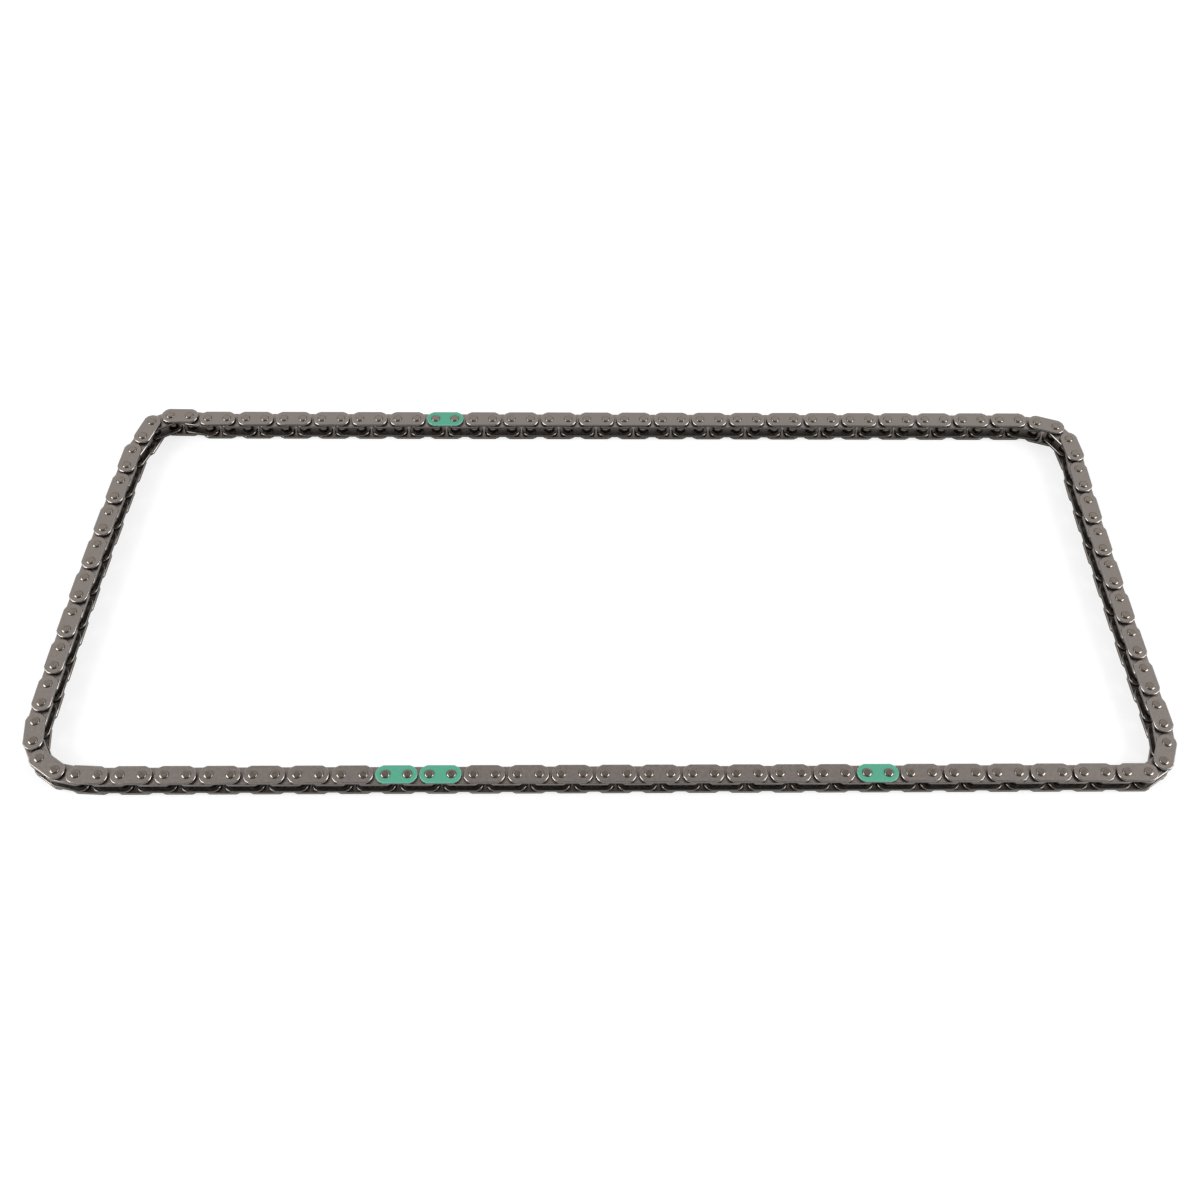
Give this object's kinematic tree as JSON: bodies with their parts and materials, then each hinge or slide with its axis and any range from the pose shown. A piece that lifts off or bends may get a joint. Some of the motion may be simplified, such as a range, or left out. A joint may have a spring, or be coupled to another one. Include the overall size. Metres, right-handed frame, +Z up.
{
  "type": "timing chain",
  "caption": "Closed single-row bush chain for an engine timing drive: riveted pins in bushes between pairs of side plates, with painted timing plates, laid flat as a loop.",
  "frame": {"origin": "under the middle of the loop's outline, in the plane of the lower pin ends, on which the chain lies", "axes": "+X along the long front and back runs, towards the right end of the loop; +Y from the front run to the back run; +Z up, along every pin"},
  "size_m": [0.4278, 0.1748, 0.0104],
  "materials": {
    "outer_plate": "satin",
    "inner_plate": "satin",
    "pin": "polished",
    "bush": "satin",
    "marked_plate": "matt"
  },
  "bodies": {
    "left_end": {"left_end_outer_plates": "outer_plate", "left_end_pins": "pin", "left_end_inner_plates": "inner_plate", "left_end_bushes": "bush"},
    "back_run_1": {"back_run_1_outer_plates": "outer_plate", "back_run_1_pins": "pin", "back_run_1_inner_plates": "inner_plate", "back_run_1_bushes": "bush"},
    "back_run_2": {"back_run_2_outer_plates": "outer_plate", "back_run_2_pins": "pin", "back_run_2_inner_plates": "inner_plate", "back_run_2_bushes": "bush"},
    "back_run_3": {"back_run_3_outer_plates": "outer_plate", "back_run_3_pins": "pin", "back_run_3_inner_plates": "inner_plate", "back_run_3_bushes": "bush", "timing_plate_back": "marked_plate"},
    "back_run_4": {"back_run_4_outer_plates": "outer_plate", "back_run_4_pins": "pin", "back_run_4_inner_plates": "inner_plate", "back_run_4_bushes": "bush"},
    "back_run_5": {"back_run_5_outer_plates": "outer_plate", "back_run_5_pins": "pin", "back_run_5_inner_plates": "inner_plate", "back_run_5_bushes": "bush"},
    "back_run_6": {"back_run_6_outer_plates": "outer_plate", "back_run_6_pins": "pin", "back_run_6_inner_plates": "inner_plate", "back_run_6_bushes": "bush"},
    "right_end": {"right_end_outer_plates": "outer_plate", "right_end_pins": "pin", "right_end_inner_plates": "inner_plate", "right_end_bushes": "bush"},
    "front_run_1": {"front_run_1_outer_plates": "outer_plate", "front_run_1_pins": "pin", "front_run_1_inner_plates": "inner_plate", "front_run_1_bushes": "bush"},
    "front_run_2": {"front_run_2_outer_plates": "outer_plate", "front_run_2_pins": "pin", "front_run_2_inner_plates": "inner_plate", "front_run_2_bushes": "bush"},
    "front_run_3": {"front_run_3_outer_plates": "outer_plate", "front_run_3_pins": "pin", "front_run_3_inner_plates": "inner_plate", "front_run_3_bushes": "bush", "timing_plate_front_left_1": "marked_plate", "timing_plate_front_left_2": "marked_plate"},
    "front_run_4": {"front_run_4_outer_plates": "outer_plate", "front_run_4_pins": "pin", "front_run_4_inner_plates": "inner_plate", "front_run_4_bushes": "bush"},
    "front_run_5": {"front_run_5_outer_plates": "outer_plate", "front_run_5_pins": "pin", "front_run_5_inner_plates": "inner_plate", "front_run_5_bushes": "bush", "timing_plate_front_right": "marked_plate"},
    "front_run_6": {"front_run_6_outer_plates": "outer_plate", "front_run_6_pins": "pin", "front_run_6_inner_plates": "inner_plate", "front_run_6_bushes": "bush"}
  },
  "joints": [
    {"name": "pin_0_turn", "type": "hinge", "parent": "left_end", "child": "back_run_1", "pos_m": [-0.16506, 0.08216, 0.0052], "axis": [0, 0, 1], "range_deg": [-20, 20]},
    {"name": "pin_4_turn", "type": "hinge", "parent": "back_run_1", "child": "back_run_2", "pos_m": [-0.13306, 0.08216, 0.0052], "axis": [0, 0, 1], "range_deg": [-20, 20]},
    {"name": "pin_11_turn", "type": "hinge", "parent": "back_run_2", "child": "back_run_3", "pos_m": [-0.07706, 0.08216, 0.0052], "axis": [0, 0, 1], "range_deg": [-15, 15]},
    {"name": "pin_21_turn", "type": "hinge", "parent": "back_run_3", "child": "back_run_4", "pos_m": [0.00294, 0.08216, 0.0052], "axis": [0, 0, 1], "range_deg": [-30, 30]},
    {"name": "pin_31_turn", "type": "hinge", "parent": "back_run_4", "child": "back_run_5", "pos_m": [0.08294, 0.08216, 0.0052], "axis": [0, 0, 1], "range_deg": [-15, 15]},
    {"name": "pin_38_turn", "type": "hinge", "parent": "back_run_5", "child": "back_run_6", "pos_m": [0.13894, 0.08216, 0.0052], "axis": [0, 0, 1], "range_deg": [-20, 20]},
    {"name": "pin_42_turn", "type": "hinge", "parent": "back_run_6", "child": "right_end", "pos_m": [0.17094, 0.08216, 0.0052], "axis": [0, 0, 1], "range_deg": [-20, 20]},
    {"name": "pin_112_turn", "type": "hinge", "parent": "left_end", "child": "front_run_1", "pos_m": [-0.16764, -0.08363, 0.0052], "axis": [0, 0, 1], "range_deg": [-20, 20]},
    {"name": "pin_108_turn", "type": "hinge", "parent": "front_run_1", "child": "front_run_2", "pos_m": [-0.13564, -0.08363, 0.0052], "axis": [0, 0, 1], "range_deg": [-20, 20]},
    {"name": "pin_101_turn", "type": "hinge", "parent": "front_run_2", "child": "front_run_3", "pos_m": [-0.07965, -0.08363, 0.0052], "axis": [0, 0, 1], "range_deg": [-15, 15]},
    {"name": "pin_91_turn", "type": "hinge", "parent": "front_run_3", "child": "front_run_4", "pos_m": [0.00035, -0.08363, 0.0052], "axis": [0, 0, 1], "range_deg": [-30, 30]},
    {"name": "pin_81_turn", "type": "hinge", "parent": "front_run_4", "child": "front_run_5", "pos_m": [0.08035, -0.08363, 0.0052], "axis": [0, 0, 1], "range_deg": [-15, 15]},
    {"name": "pin_74_turn", "type": "hinge", "parent": "front_run_5", "child": "front_run_6", "pos_m": [0.13636, -0.08363, 0.0052], "axis": [0, 0, 1], "range_deg": [-20, 20]}
  ],
  "couplings": [
    {"joint": "pin_4_turn", "follows": "pin_0_turn", "ratio": 1},
    {"joint": "pin_21_turn", "follows": "pin_11_turn", "ratio": -2},
    {"joint": "pin_31_turn", "follows": "pin_11_turn", "ratio": 1},
    {"joint": "pin_38_turn", "follows": "pin_0_turn", "ratio": -1},
    {"joint": "pin_42_turn", "follows": "pin_0_turn", "ratio": -1},
    {"joint": "pin_112_turn", "follows": "pin_0_turn", "ratio": 1},
    {"joint": "pin_108_turn", "follows": "pin_0_turn", "ratio": 1},
    {"joint": "pin_101_turn", "follows": "pin_11_turn", "ratio": -1},
    {"joint": "pin_91_turn", "follows": "pin_11_turn", "ratio": 2},
    {"joint": "pin_81_turn", "follows": "pin_11_turn", "ratio": -1},
    {"joint": "pin_74_turn", "follows": "pin_0_turn", "ratio": -1}
  ]
}
